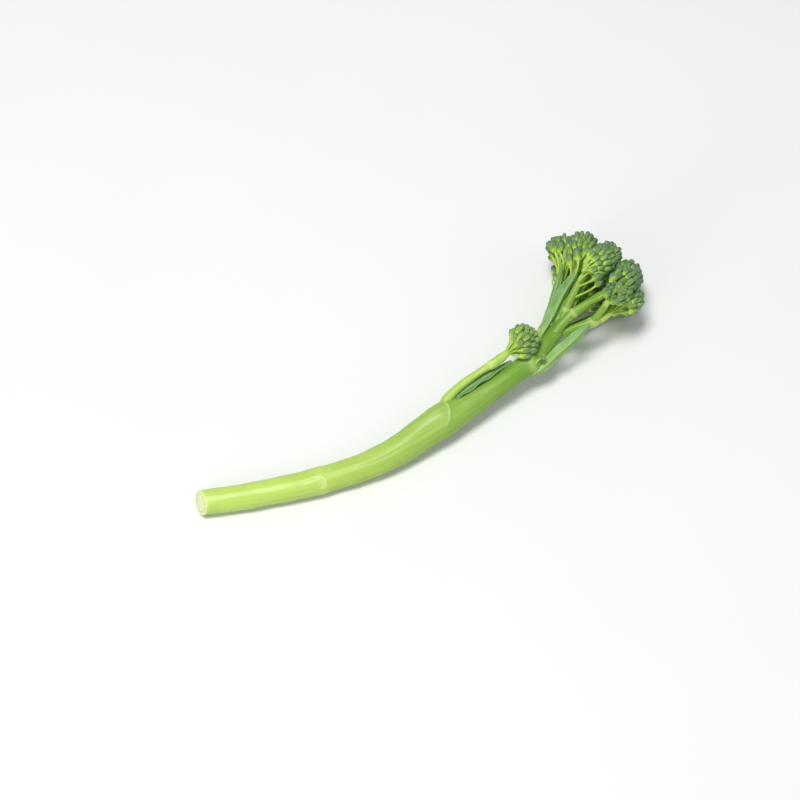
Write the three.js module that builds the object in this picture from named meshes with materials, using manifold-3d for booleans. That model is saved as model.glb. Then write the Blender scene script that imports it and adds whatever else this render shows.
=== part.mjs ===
// One broccolini spear, cut at the foot and lying on a surface.
// Millimetres, +X along the spear from the cut foot to the crown, +Z up, z = 0 is the surface.
// The origin is under the middle of the spear.
import * as THREE from 'three';
import Module from 'manifold-3d';
import { mergeVertices } from 'three/addons/utils/BufferGeometryUtils.js';

const wasm = await Module();
wasm.setup();

// ---------------------------------------------------------------- driving dimensions
const GAP = 0.3;              // clearance between neighbouring pieces
const CUT_SLANT = 24;         // degrees by which the knife cut leans away from square
const CUT_TURN = 30;          // degrees round the stem, from its top, to the side that the cut leans to
const BUD_LUMP = 0.45;        // height of the bud bumps on a floret
const LEAF_THICKNESS = 0.9;

// Every route is a list of [x, y, z, radius] through which the middle of a stem runs.
const STEM_ROUTE = [
  [-94, -5, 4.6, 4.6],
  [-74, -12, 4.75, 4.75],
  [-52, -18, 5.0, 4.9],
  [-27, -22, 6.0, 5.0],
  [-3, -21, 8.5, 4.8],
  [19, -18.5, 11.2, 4.3],
  [38, -16, 13.9, 3.8],
  [48, -12.5, 15.6, 3.3],
  [56, -8.5, 17, 2.6],
];
// Swollen joints of the main stem: [fraction of its length, extra radius, spread].
const STEM_JOINTS = [
  [0.31, 0.25, 0.012],
  [0.6, 0.45, 0.016],
  [0.872, 0.35, 0.012],
];

const SIDE_SHOOT_ROUTE = [
  [-1, -17.5, 9.8, 2.2],
  [3.5, -14, 12.4, 1.9],
  [10, -12.6, 14.2, 1.6],
  [17, -12.2, 16.2, 1.45],
  [23.5, -12.3, 18.4, 1.5],
  [27, -12.2, 19.4, 1.7],
];

// Each branch of the crown leaves the top of the main stem, or another branch, and carries one floret.
const BRANCHES = {
  left_branch: [[52, -10, 16.6, 1.3], [57, -4, 17.2, 1.5], [64, 5, 17, 1.3]],
  upper_left_branch: [[53, -10, 17.4, 1.2], [59, -4.5, 20, 1.4], [66, 2.5, 21.8, 1.2]],
  top_branch: [[54, -9.5, 17.6, 1.3], [62, -4, 21.4, 1.5], [68.5, 0, 25, 1.3]],
  crest_branch: [[55, -9, 17.2, 1.2], [66, -2.5, 19.6, 1.4], [76, 3, 21.6, 1.2]],
  right_branch: [
    [50, -11.5, 17.2, 1.5], [60, -9.4, 21.2, 1.6], [70, -8.6, 22.8, 1.5], [78.5, -6.4, 21.8, 1.4],
  ],
  shoulder_branch: [[66, -9, 22.4, 1.1], [71, -9.8, 24.6, 1.2], [75.5, -9.8, 26.2, 1.1]],
  side_branch: [
    [51, -11.5, 15.2, 1.5], [58, -13, 16.8, 1.6], [65, -14.6, 18.2, 1.7], [69.5, -15.2, 18.6, 1.3],
  ],
  front_branch: [[65, -14.6, 18.6, 1.2], [68.8, -14.2, 22, 1.4], [71.8, -13.8, 26, 1.3]],
  back_branch: [[55, -8.5, 16.2, 1.2], [65, -1.5, 16, 1.3], [77, 4.5, 15.6, 1.2]],
  far_branch: [[54, -9, 15.8, 1.3], [67, -6, 14, 1.5], [81, -3, 12.8, 1.3]],
  low_front_branch: [[52, -11, 15, 1.3], [63, -9.6, 12, 1.5], [76, -8, 8.2, 1.3]],
  low_middle_branch: [[52, -10, 14.8, 1.2], [61, -5, 11.6, 1.3], [68.5, -1, 8, 1.2]],
  low_right_branch: [[54, -9.5, 15.2, 1.2], [66, -3.4, 12, 1.4], [78, 1.8, 8.2, 1.2]],
  rear_branch: [[53, -9, 15.8, 1.2], [63, -0.5, 13.4, 1.3], [74, 8.5, 10.2, 1.2]],
  low_left_branch: [[51.5, -10, 15.4, 1.2], [58.5, -3, 12.6, 1.3], [65.5, 7, 8.8, 1.2]],
};

// Each floret is a fan of bud stalks from `foot`, ending in a dome of buds about `middle`.
const FLORETS = {
  left_floret: { foot: [64.5, 5.8, 17], middle: [73, 21, 16], radius: 5.4 },
  upper_left_floret: { foot: [66.7, 3.2, 22], middle: [78.3, 13.8, 23.6], radius: 5.6 },
  top_floret: { foot: [69.3, 0.2, 25.5], middle: [77.6, 1, 30.6], radius: 5.3 },
  crest_floret: { foot: [76.9, 3.4, 21.8], middle: [84.6, 5.4, 23], radius: 5 },
  right_floret: { foot: [79.5, -6.1, 21.7], middle: [88, -4, 20.5], radius: 5.1 },
  shoulder_floret: { foot: [76.4, -9.7, 26.4], middle: [83, -9, 27.5], radius: 4.8 },
  front_floret: { foot: [72.3, -13.8, 26.8], middle: [75, -13.2, 31.2], radius: 4.9 },
  side_floret: { foot: [70.6, -15.2, 18.6], middle: [84, -14.5, 18.5], radius: 4.9 },
  back_floret: { foot: [78, 5, 15.5], middle: [88, 9.8, 14.8], radius: 4.8 },
  far_floret: { foot: [82, -2.8, 12.7], middle: [92, -1.5, 12], radius: 5 },
  low_front_floret: { foot: [77, -7.9, 8], middle: [86.6, -6.8, 5.1], radius: 5 },
  low_middle_floret: { foot: [69.4, -0.6, 7.7], middle: [76.5, 1.5, 5.2], radius: 5.2 },
  low_right_floret: { foot: [79, 2.2, 8], middle: [88, 5, 5.1], radius: 5 },
  rear_floret: { foot: [74.8, 9.2, 10], middle: [83.5, 16.5, 8], radius: 5 },
  low_left_floret: { foot: [66, 7.8, 8.6], middle: [74, 16.5, 5.2], radius: 5.2 },
  shoot_floret: { foot: [28, -12, 19.7], middle: [38, -10.7, 22.8], radius: 4.9 },
};

// Each leaf follows a route of [x, y, z, half width] and is folded along its midrib,
// with `back` the side that the fold points to.
const LEAVES = {
  side_leaf: {
    route: [
      [1.5, -16.8, 10.8, 1.1], [10, -15.4, 13, 2.2], [21, -14.8, 14.9, 1.9], [31, -14, 16.4, 0.5],
    ],
    back: [0, -0.5, -1],
    fold: 50,
  },
  joint_leaf: {
    route: [
      [38, -21, 12.4, 1.4], [46.4, -20, 15, 1.9], [55, -18.6, 17.8, 1.8], [62.8, -16.6, 21.2, 0.4],
    ],
    back: [-0.1, -0.75, 0.65],
    fold: 34,
  },
  broad_crown_leaf: {
    route: [
      [46, -9.6, 18.8, 1.2], [53.5, -6, 21.6, 2.3], [60, -2, 25.2, 2.4], [66.5, 0.6, 28.8, 1.3],
    ],
    back: [0.4, -0.6, 0.7],
    fold: 42,
  },
  narrow_crown_leaf: {
    route: [
      [48, -7.2, 17.2, 0.9], [56, -0.6, 19.4, 1.4], [63, 6, 21.6, 1.3], [67.4, 10.4, 22.6, 0.4],
    ],
    back: [0.3, 0.5, 0.8],
    fold: 40,
  },
};

const JOINT_BUD = { middle: [40.6, -18.9, 18.6], radius: 1.3, stretch: 1.5 };

// ---------------------------------------------------------------- materials
const skin = (colour, roughness) =>
  new THREE.MeshStandardMaterial({ color: colour, roughness, metalness: 0 });
const stemSkin = () => skin(0xb4d97c, 0.42);
const branchSkin = () => skin(0x9cc860, 0.45);
const budSkin = () => skin(0x6f9a5c, 0.62);
const leafSkin = () => skin(0x86ac74, 0.55);

// ---------------------------------------------------------------- closed meshes
// Closes a stack of rings, all with the same number of points, with a fan at each end.
function ringsToGeometry(rings) {
  const sides = rings[0].length;
  const centre = (ring) =>
    ring.reduce((sum, p) => sum.add(p), new THREE.Vector3()).divideScalar(sides);
  const points = [...rings.flat(), centre(rings[0]), centre(rings.at(-1))];
  const faces = [];
  const at = (ring, side) => ring * sides + (side % sides);
  for (let ring = 0; ring < rings.length - 1; ring += 1) {
    for (let side = 0; side < sides; side += 1) {
      faces.push(at(ring, side), at(ring, side + 1), at(ring + 1, side + 1));
      faces.push(at(ring, side), at(ring + 1, side + 1), at(ring + 1, side));
    }
  }
  const foot = points.length - 2;
  const head = points.length - 1;
  for (let side = 0; side < sides; side += 1) {
    faces.push(foot, at(0, side + 1), at(0, side));
    faces.push(head, at(rings.length - 1, side), at(rings.length - 1, side + 1));
  }
  const geometry = new THREE.BufferGeometry();
  geometry.setAttribute('position', new THREE.Float32BufferAttribute(points.flatMap((p) => p.toArray()), 3));
  geometry.setIndex(faces);
  return geometry;
}

// A smooth curve through the route's points, and its fourth value (radius or half width) along it.
function followRoute(route) {
  const curve = new THREE.CatmullRomCurve3(route.map(([x, y, z]) => new THREE.Vector3(x, y, z)));
  const value = (t) => {
    const place = Math.min(curve.getUtoTmapping(t) * (route.length - 1), route.length - 1.000001);
    const index = Math.floor(place);
    return THREE.MathUtils.lerp(route[index][3], route[index + 1][3], place - index);
  };
  return { curve, value };
}

// Two directions square to `along`, the first as near as it can be to `towards`.
function crossDirections(along, towards) {
  const first = towards.clone().addScaledVector(along, -towards.dot(along)).normalize();
  return [first, along.clone().cross(first)];
}

const UP = new THREE.Vector3(0, 0, 1);

// A round stem along a route. `joints` swell it, and `slant` leans the cut at its foot.
function stemShape(route, { sides = 8, steps = 6, joints = [], slant = 0 } = {}) {
  return (grow) => {
    const { curve, value } = followRoute(route);
    const rings = [];
    for (let step = 0; step <= steps; step += 1) {
      const t = step / steps;
      const along = curve.getTangentAt(t);
      const [first, second] = crossDirections(along, UP);
      const swell = joints.reduce((sum, [place, extra, spread]) =>
        sum + extra * Math.exp(-(((t - place) / spread) ** 2)), 0);
      const radius = value(t) + swell + grow;
      const middle = curve.getPointAt(t);
      if (step === 0) middle.addScaledVector(along, -grow);
      if (step === steps) middle.addScaledVector(along, grow);
      const lean = step === 0 ? Math.tan(THREE.MathUtils.degToRad(slant)) * radius : 0;
      rings.push(Array.from({ length: sides }, (_, side) => {
        const turn = (side / sides) * Math.PI * 2;
        return middle.clone().addScaledVector(first, Math.cos(turn) * radius)
          .addScaledVector(second, Math.sin(turn) * radius)
          .addScaledVector(along, Math.cos(turn - THREE.MathUtils.degToRad(CUT_TURN)) * lean);
      }));
    }
    return ringsToGeometry(rings);
  };
}

// A leaf folded along its midrib: a V-shaped section, as thick as LEAF_THICKNESS, along the route.
function leafShape({ route, back, fold }, steps = 8) {
  return (grow) => {
    const { curve, value } = followRoute(route);
    const thickness = LEAF_THICKNESS / 2 + grow;
    const slope = THREE.MathUtils.degToRad(fold);
    const rings = [];
    for (let step = 0; step <= steps; step += 1) {
      const t = step / steps;
      const along = curve.getTangentAt(t);
      const [inner, across] = crossDirections(along, new THREE.Vector3(...back).negate());
      const half = value(t) + grow;
      const middle = curve.getPointAt(t);
      if (step === 0) middle.addScaledVector(along, -grow);
      if (step === steps) middle.addScaledVector(along, grow);
      const at = (side, height) => middle.clone().addScaledVector(across, side)
        .addScaledVector(inner, height);
      const reach = half * Math.cos(slope);
      const rise = half * Math.sin(slope);
      rings.push([
        at(0, -thickness),
        at(-reach, rise - thickness),
        at(-reach, rise + thickness * 0.6),
        at(0, thickness),
        at(reach, rise + thickness * 0.6),
        at(reach, rise - thickness),
      ]);
    }
    return ringsToGeometry(rings);
  };
}

// A floret: bud stalks spreading from its foot into a lumpy dome of buds.
function floretShape({ foot, middle, radius }, sides = 12) {
  const footPoint = new THREE.Vector3(...foot);
  const middlePoint = new THREE.Vector3(...middle);
  const along = middlePoint.clone().sub(footPoint);
  const stalk = along.length();
  along.normalize();
  const [first, second] = crossDirections(along, UP);
  const domeRings = 6;
  const stalkRings = 3;
  return (grow) => {
    const rings = [];
    const addRing = (height, ringRadius, lump) => {
      const row = rings.length;
      rings.push(Array.from({ length: sides }, (_, side) => {
        const turn = ((side + (row % 2) / 2) / sides) * Math.PI * 2;
        const reach = ringRadius + (side % 2 === row % 2 ? lump : 0);
        return footPoint.clone().addScaledVector(along, height)
          .addScaledVector(first, Math.cos(turn) * reach)
          .addScaledVector(second, Math.sin(turn) * reach);
      }));
    };
    for (let ring = 0; ring < stalkRings; ring += 1) {
      const t = ring / stalkRings;
      const width = THREE.MathUtils.lerp(1.2, radius * 0.86, t ** 1.25) + grow;
      addRing(-grow + t * (stalk - radius * 0.5 + grow), width, 0);
    }
    for (let ring = 0; ring < domeRings; ring += 1) {
      const angle = THREE.MathUtils.lerp(-28, 80, ring / (domeRings - 1));
      const turn = THREE.MathUtils.degToRad(angle);
      const size = radius + grow - BUD_LUMP;
      addRing(stalk + Math.sin(turn) * size, Math.cos(turn) * size, BUD_LUMP);
    }
    return ringsToGeometry(rings);
  };
}

// A small closed bud, longer than it is wide, standing in the leaf joint.
function jointBudShape({ middle, radius, stretch }) {
  return (grow) => {
    const bud = new THREE.SphereGeometry(radius + grow, 10, 8);
    bud.scale(stretch, 1, 1);
    bud.rotateZ(THREE.MathUtils.degToRad(18));
    bud.translate(...middle);
    return bud;
  };
}

// ---------------------------------------------------------------- solids
function toSolid(geometry) {
  const bare = geometry.clone();
  bare.deleteAttribute('normal');
  bare.deleteAttribute('uv');
  const merged = mergeVertices(bare, 1e-4);
  return new wasm.Manifold(new wasm.Mesh({
    numProp: 3,
    vertProperties: new Float32Array(merged.attributes.position.array),
    triVerts: new Uint32Array(merged.index.array),
  }));
}

function toGeometry(solid) {
  const mesh = solid.getMesh();
  const geometry = new THREE.BufferGeometry();
  geometry.setAttribute('position', new THREE.BufferAttribute(mesh.vertProperties, 3));
  geometry.setIndex(new THREE.BufferAttribute(mesh.triVerts, 1));
  geometry.computeVertexNormals();
  return geometry;
}

const group = new THREE.Group();
const taken = [];

// Adds one piece, cut back so that it keeps GAP from every piece added before it.
function addPiece(name, shape, material) {
  let solid = toSolid(shape(0));
  for (const other of taken) solid = solid.subtract(other);
  const bodies = solid.decompose().sort((a, b) => b.volume() - a.volume());
  taken.push(toSolid(shape(GAP)));
  const mesh = new THREE.Mesh(toGeometry(bodies[0]), material);
  mesh.name = name;
  group.add(mesh);
}

addPiece('main_stem', stemShape(STEM_ROUTE, { sides: 16, steps: 40, joints: STEM_JOINTS, slant: CUT_SLANT }),
  stemSkin());
addPiece('side_shoot', stemShape(SIDE_SHOOT_ROUTE, { steps: 8 }), branchSkin());
for (const [name, route] of Object.entries(BRANCHES)) {
  addPiece(name, stemShape(route), branchSkin());
}
for (const [name, leaf] of Object.entries(LEAVES)) {
  addPiece(name, leafShape(leaf), leafSkin());
}
addPiece('joint_bud', jointBudShape(JOINT_BUD), budSkin());
for (const [name, floret] of Object.entries(FLORETS)) {
  addPiece(name, floretShape(floret), budSkin());
}

export default group;
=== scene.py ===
"""One broccolini spear lying on a pale table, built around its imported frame.

The stem, the side shoot and the branches are round stems that follow routes. Every floret is a fan
of bud stalks with modelled buds. Lengths in this file are millimetres until a mesh is written.
"""
import math

import bpy
import numpy as np
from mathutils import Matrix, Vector


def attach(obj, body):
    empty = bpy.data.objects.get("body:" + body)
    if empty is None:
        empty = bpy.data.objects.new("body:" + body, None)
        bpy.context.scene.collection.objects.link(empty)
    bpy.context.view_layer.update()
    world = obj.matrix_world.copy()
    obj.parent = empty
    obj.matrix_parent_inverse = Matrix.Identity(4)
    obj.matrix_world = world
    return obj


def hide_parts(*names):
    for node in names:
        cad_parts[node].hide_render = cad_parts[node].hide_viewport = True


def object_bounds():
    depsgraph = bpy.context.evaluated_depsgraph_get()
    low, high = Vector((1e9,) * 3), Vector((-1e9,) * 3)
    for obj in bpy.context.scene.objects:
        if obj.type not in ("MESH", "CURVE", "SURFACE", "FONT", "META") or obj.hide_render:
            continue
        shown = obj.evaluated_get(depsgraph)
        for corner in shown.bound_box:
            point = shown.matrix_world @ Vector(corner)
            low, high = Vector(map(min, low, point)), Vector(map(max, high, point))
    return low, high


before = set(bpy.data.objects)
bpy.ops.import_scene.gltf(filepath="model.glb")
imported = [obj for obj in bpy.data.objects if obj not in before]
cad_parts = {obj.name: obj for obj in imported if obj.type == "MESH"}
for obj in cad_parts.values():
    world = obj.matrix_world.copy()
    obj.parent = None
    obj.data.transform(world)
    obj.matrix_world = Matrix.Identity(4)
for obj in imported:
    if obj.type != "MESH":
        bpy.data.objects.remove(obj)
CAD_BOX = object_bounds()

bl_info = {
    "name": "Broccolini Spear",
    "version": (1, 0, 0),
    "blender": (4, 5, 0),
    "location": "3D View > Sidebar > Broccolini",
    "description": "Builds a broccolini spear with a side shoot, leaves and a crown of budded florets",
    "category": "Add Mesh",
}

MM = 0.001
BODY = "root"
SEED = 7
GOLDEN_TURN = math.pi * (3 - math.sqrt(5))
# The colour sockets of a Mix node, which has sockets of the same names for other kinds.
MIX_FACTOR, MIX_FIRST, MIX_SECOND, MIX_RESULT = 0, 6, 7, 2

# ---------------------------------------------------------------- routes, in the frame's axes
# Each point of a stem is (x, y, z, radius).
STEM_ROUTE = (
    (-94, -5, 4.6, 4.6), (-74, -12, 4.75, 4.75), (-52, -18, 5.0, 4.9), (-27, -22, 6.0, 5.0),
    (-3, -21, 8.5, 4.8), (19, -18.5, 11.2, 4.3), (38, -16, 13.9, 3.8), (48, -12.5, 15.6, 3.3),
    (56, -8.5, 17, 2.6), (60, -6, 17.6, 1.6),
)
SIDE_SHOOT_ROUTE = (
    (-9, -21.2, 7.4, 2.2), (-4, -19.2, 9.2, 2.3), (-0.5, -16.9, 10.8, 2.2), (3.5, -14.2, 12.4, 1.9),
    (10, -12.6, 14.2, 1.65),
    (17, -12.2, 16.2, 1.45), (22.6, -12.3, 18.1, 1.5), (24.2, -12.4, 18.6, 1.75),
    (27.6, -12.1, 19.6, 1.6),
)
BRANCH_ROUTES = {
    "left_branch": ((46, -13, 15.4, 1.6), (52, -9.6, 16.6, 1.6), (57, -4, 17.2, 1.45),
                    (64, 5, 17, 1.1)),
    "upper_left_branch": ((46, -13, 15.6, 1.5), (53, -9.6, 17.6, 1.5), (59, -4.5, 20, 1.35),
                          (66, 2.5, 21.8, 1.1)),
    "top_branch": ((47, -12.5, 15.6, 1.8), (54, -9.3, 17.9, 1.8), (62, -4, 21.4, 1.6),
                   (68.5, 0, 25, 1.2)),
    "crest_branch": ((50, -11, 16, 1.6), (56, -8.5, 17.4, 1.5), (66, -2.5, 19.6, 1.3),
                     (76, 3, 21.6, 1.1)),
    "right_branch": ((44, -14, 14.6, 1.9), (51, -11.5, 17.4, 1.9), (59.6, -9.4, 21.1, 1.75),
                     (70, -8.6, 22.8, 1.5),
                     (78.5, -6.4, 21.8, 1.2)),
    "shoulder_branch": ((63, -9.2, 21.6, 1.1), (66.5, -9.2, 22.8, 1.2), (71, -9.8, 24.6, 1.1),
                        (75.5, -9.8, 26.2, 0.9)),
    "side_branch": ((45, -14, 14, 1.9), (51, -12, 15.2, 1.8), (58, -13, 16.8, 1.6),
                    (65, -14.6, 18.2, 1.75),
                    (69.5, -15.2, 18.6, 1.3)),
    "front_branch": ((62, -14, 17.4, 1.3), (65.4, -14.6, 18.8, 1.5), (68.8, -14.2, 22, 1.35),
                     (71.8, -13.8, 26, 1.1)),
    "back_branch": ((50, -11, 16, 1.4), (55.5, -8.3, 16.2, 1.3), (65, -1.5, 16, 1.2),
                    (77, 4.5, 15.6, 1)),
    "far_branch": ((49, -11.6, 15.6, 1.5), (54.6, -8.9, 15.8, 1.4), (67, -6, 14, 1.3),
                   (81, -3, 12.8, 1.1)),
    "low_front_branch": ((47, -12.8, 14.8, 1.5), (53, -10.8, 14.8, 1.4), (63, -9.6, 12, 1.3),
                         (76, -8, 8.2, 1.1)),
    "low_middle_branch": ((47, -12.6, 14.8, 1.4), (53, -9.6, 14.4, 1.3), (61, -5, 11.6, 1.2),
                          (68.5, -1, 8, 1)),
    "low_right_branch": ((49, -11.6, 15.4, 1.4), (55, -9, 15, 1.3), (66, -3.4, 12, 1.2),
                         (78, 1.8, 8.2, 1)),
    "rear_branch": ((48, -12, 15.4, 1.4), (54, -8.2, 15.6, 1.3), (63, -0.5, 13.4, 1.2),
                    (74, 8.5, 10.2, 1)),
    "low_left_branch": ((46, -13, 14.8, 1.4), (52.4, -9.2, 15.2, 1.3), (58.5, -3, 12.6, 1.2),
                        (65.5, 7, 8.8, 1)),
}
# Florets: (foot of the fan, middle of the dome, dome radius, open buds, young buds in the centre).
FLORETS = {
    "left_floret": ((64, 5, 17), (74, 20.2, 16), 5.9, 48, 12),
    "upper_left_floret": ((66, 2.5, 21.8), (78, 13.2, 23.4), 6.4, 54, 12),
    "top_floret": ((68.5, 0, 31), (77.6, 1, 29.8), 5.8, 51, 18),
    "crest_floret": ((76, 3, 21.6), (84.6, 5.4, 23), 5.6, 48, 18),
    "right_floret": ((78.5, -6.4, 21.8), (87.6, -4, 20.5), 5.8, 51, 18),
    "shoulder_floret": ((75.5, -9.8, 26.2), (82.6, -9, 27), 5.4, 40, 12),
    "front_floret": ((71.8, -13.8, 26), (74.6, -13.8, 29.8), 4.9, 24, 28),
    "side_floret": ((69.5, -15.2, 18.6), (83.6, -13.4, 18.9), 5.1, 54, 12),
    "back_floret": ((77, 4.5, 15.6), (87.4, 9.6, 14.8), 5.6, 45, 12),
    "far_floret": ((81, -3, 12.8), (91, -1.5, 12.2), 5.6, 48, 12),
    "low_front_floret": ((76, -8, 8.2), (86, -6.8, 6), 5.4, 43, 10),
    "low_middle_floret": ((68.5, -1, 8), (76, 1.5, 6), 5.4, 40, 10),
    "low_right_floret": ((78, 1.8, 8.2), (87.4, 7, 8), 5.4, 43, 10),
    "rear_floret": ((74, 8.5, 10.2), (83, 16, 8.4), 5.6, 45, 12),
    "low_left_floret": ((65.5, 7, 8.8), (73.6, 16.2, 6), 5.4, 43, 10),
    "shoot_floret": ((27.6, -12.1, 19.6), (37.6, -10.9, 22.4), 6.2, 48, 20),
}
# Half angles in degrees of the domes that are narrower than the rest.
NARROW_DOMES = {"front_floret": 64, "side_floret": 76, "top_floret": 82, "shoot_floret": 84,
                "left_floret": 72}
# Florets whose buds differ from the rest: (size, how much paler).
BUD_HABITS = {"shoot_floret": (0.96, 0.28), "front_floret": (0.84, 0.16), "top_floret": (1, 0.1)}
# Single buds that stand away from the domes: (stalk's foot, bud's base, bud's tip).
LONE_BUDS = {
    "left_floret": (((61, 3, 18.6), (68.4, 17.2, 21.6), (67.6, 21.6, 24)),
                    ((62, 3.4, 17.6), (70.2, 16.4, 20.6), (69.4, 20.6, 21.8))),
    "upper_left_floret": (((65, 0.6, 24), (70.2, 4.8, 30), (71.8, 9.2, 32.4)),
                          ((64, 1, 22), (67.6, 5.6, 27.6), (68.6, 10, 29.8))),
    "top_floret": (((62.6, -3.8, 21.6), (71.6, -6, 27), (73.4, -6.4, 29.8)),
                   ((65.8, -1.4, 23.8), (71.2, -4.2, 29), (73.8, -5.2, 31.8)),
                   ((66, -0.8, 24.4), (71.6, -1.2, 30.2), (74.2, -2.4, 32.6))),
}
# Leaves: (x, y, z, half width) along the midrib, the side its fold points to, the fold in degrees, and
# how far along the leaf its paler foot reaches.
LEAVES = {
    "side_leaf": (((-2, -17.6, 9.4, 0.9), (2, -16.5, 10.6, 1.9), (10, -15.4, 12.4, 2.9),
                   (21, -14.8, 14.6, 2.5),
                   (31, -13.9, 16.4, 0.6)), (0, -0.5, -1), 52, 0.2),
    "joint_leaf": (((36, -20.2, 12.2, 1.6), (41, -20.4, 13.6, 2.1), (47, -19.2, 15.5, 2.5),
                    (55, -17.9, 18.1, 2.3),
                    (60, -17.0, 20.2, 1.6), (62.9, -16.4, 21.3, 0.5)), (-0.1, -0.75, 0.65), 30, 1.5),
    "broad_crown_leaf": (((44, -11, 17.2, 1.5), (48, -9.1, 19.1, 2.3), (53.5, -6, 21.6, 2.5),
                          (60, -2, 25.2, 2.6),
                          (65.4, 0.2, 28.2, 2.0), (67, 0.9, 29, 0.9)), (0.4, -0.6, 0.7), 42, 0.75),
    "narrow_crown_leaf": (((46, -9, 16.6, 0.8), (50, -5.6, 18, 1.2), (56, -0.6, 19.4, 1.5),
                           (63, 6, 21.6, 1.4),
                           (67.6, 10.6, 22.6, 0.3)), (0.3, 0.5, 0.8), 40, 0.5),
}
JOINT_BUD_FOOT = (38.2, -18.6, 16.2)
JOINT_BUD_HEAD = (40.8, -18.8, 18.9)


# ---------------------------------------------------------------- settings
class StemSettings(bpy.types.PropertyGroup):
    """Main stem, side shoot and branches."""
    around: bpy.props.IntProperty(
        name="Faces around", description="Faces round the main stem", default=96, min=24, max=160)
    step: bpy.props.FloatProperty(
        name="Step", description="Length of one face along the main stem", default=0.0004,
        min=0.0002, unit="LENGTH")
    cut_slant: bpy.props.FloatProperty(
        name="Cut slant", description="How far the knife cut leans from square",
        default=math.radians(24), subtype="ANGLE")
    cut_turn: bpy.props.FloatProperty(
        name="Cut turn", description="Where round the stem the cut faces, from its top",
        default=math.radians(30), subtype="ANGLE")
    foot_colour: bpy.props.FloatVectorProperty(
        name="Foot", description="Pale skin near the cut", default=(0.56, 0.75, 0.145), size=3,
        subtype="COLOR")
    crown_colour: bpy.props.FloatVectorProperty(
        name="Crown end", description="Greener skin near the crown", default=(0.125, 0.305, 0.012),
        size=3,
        subtype="COLOR")
    scar_colour: bpy.props.FloatVectorProperty(
        name="Joints", description="Pale skin of the joints and scars", default=(0.72, 0.84, 0.33),
        size=3,
        subtype="COLOR")
    flesh_colour: bpy.props.FloatVectorProperty(
        name="Cut flesh", description="Flesh on the knife cut", default=(0.78, 0.87, 0.50), size=3,
        subtype="COLOR")


class CrownSettings(bpy.types.PropertyGroup):
    """Buds and their stalks."""
    bud_length: bpy.props.FloatProperty(
        name="Bud length", description="Length of an open-grown bud", default=0.0038, unit="LENGTH")
    bud_width: bpy.props.FloatProperty(
        name="Bud width", description="Width of an open-grown bud", default=0.00225, unit="LENGTH")
    stalk_radius: bpy.props.FloatProperty(
        name="Bud stalk", description="Radius of a bud's stalk", default=0.00036, unit="LENGTH")
    stalk_colour: bpy.props.FloatVectorProperty(
        name="Stalks", description="Colour of the bud stalks", default=(0.28, 0.53, 0.035), size=3,
        subtype="COLOR")
    bud_foot_colour: bpy.props.FloatVectorProperty(
        name="Bud foot", description="Yellow-green foot of a bud", default=(0.5, 0.72, 0.085), size=3,
        subtype="COLOR")
    bud_tip_colour: bpy.props.FloatVectorProperty(
        name="Bud tip", description="Dark green tip of a bud", default=(0.045, 0.135, 0.04), size=3,
        subtype="COLOR")
    bloom_colour: bpy.props.FloatVectorProperty(
        name="Bloom", description="Whitish wax on buds and leaves", default=(0.22, 0.37, 0.25), size=3,
        subtype="COLOR")


class LeafSettings(bpy.types.PropertyGroup):
    """The small folded leaves."""
    thickness: bpy.props.FloatProperty(
        name="Thickness", description="Thickness of a leaf at its midrib", default=0.0007,
        unit="LENGTH")
    blade_colour: bpy.props.FloatVectorProperty(
        name="Blade", description="Grey-green blade", default=(0.15, 0.32, 0.07), size=3,
        subtype="COLOR")
    rib_colour: bpy.props.FloatVectorProperty(
        name="Midrib", description="Pale midrib and edges", default=(0.34, 0.57, 0.12), size=3,
        subtype="COLOR")


class StageSettings(bpy.types.PropertyGroup):
    """Table, lights and camera."""
    lens: bpy.props.FloatProperty(
        name="Lens", description="Focal length in millimetres", default=85.0)
    azimuth: bpy.props.FloatProperty(
        name="Azimuth", description="Turn of the camera about the spear", default=math.radians(-29),
        subtype="ANGLE")
    elevation: bpy.props.FloatProperty(
        name="Elevation", description="Height of the camera above the table", default=math.radians(60),
        subtype="ANGLE")
    distance: bpy.props.FloatProperty(
        name="Distance", description="From the camera to the point it looks at", default=0.7,
        unit="LENGTH")
    target: bpy.props.FloatVectorProperty(
        name="Target", description="The point that the camera looks at",
        default=(-0.0115, -0.005, 0.010),
        size=3, subtype="TRANSLATION")
    table_colour: bpy.props.FloatVectorProperty(
        name="Table", description="Pale table top", default=(0.86, 0.86, 0.85), size=3, subtype="COLOR")


# ---------------------------------------------------------------- meshes
def write_mesh(name, points, quads, triangles, values, materials, slots=None):
    """Makes an object from points in millimetres, with one float value per point for each mask."""
    corners = np.concatenate([np.asarray(quads, int).ravel(), np.asarray(triangles, int).ravel()])
    sizes = np.concatenate([np.full(len(quads), 4), np.full(len(triangles), 3)]).astype(int)
    mesh = bpy.data.meshes.new(name)
    mesh.vertices.add(len(points))
    mesh.vertices.foreach_set("co", (np.asarray(points) * MM).astype(np.float32).ravel())
    mesh.loops.add(len(corners))
    mesh.loops.foreach_set("vertex_index", corners.astype(np.int32))
    mesh.polygons.add(len(sizes))
    mesh.polygons.foreach_set("loop_start",
                              np.concatenate([[0], np.cumsum(sizes)[:-1]]).astype(np.int32))
    mesh.polygons.foreach_set("use_smooth", np.ones(len(sizes), bool))
    for material in materials:
        mesh.materials.append(material)
    if slots is not None:
        mesh.polygons.foreach_set("material_index", np.asarray(slots, np.int32))
    for key, value in values.items():
        kind = "FLOAT_VECTOR" if value.ndim == 2 else "FLOAT"
        field = "vector" if value.ndim == 2 else "value"
        mesh.attributes.new(key, kind, "POINT").data.foreach_set(field,
                                                                 value.astype(np.float32).ravel())
    mesh.update(calc_edges=True)
    mesh.validate()
    piece = bpy.data.objects.new(name, mesh)
    bpy.context.scene.collection.objects.link(piece)
    return piece


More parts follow.
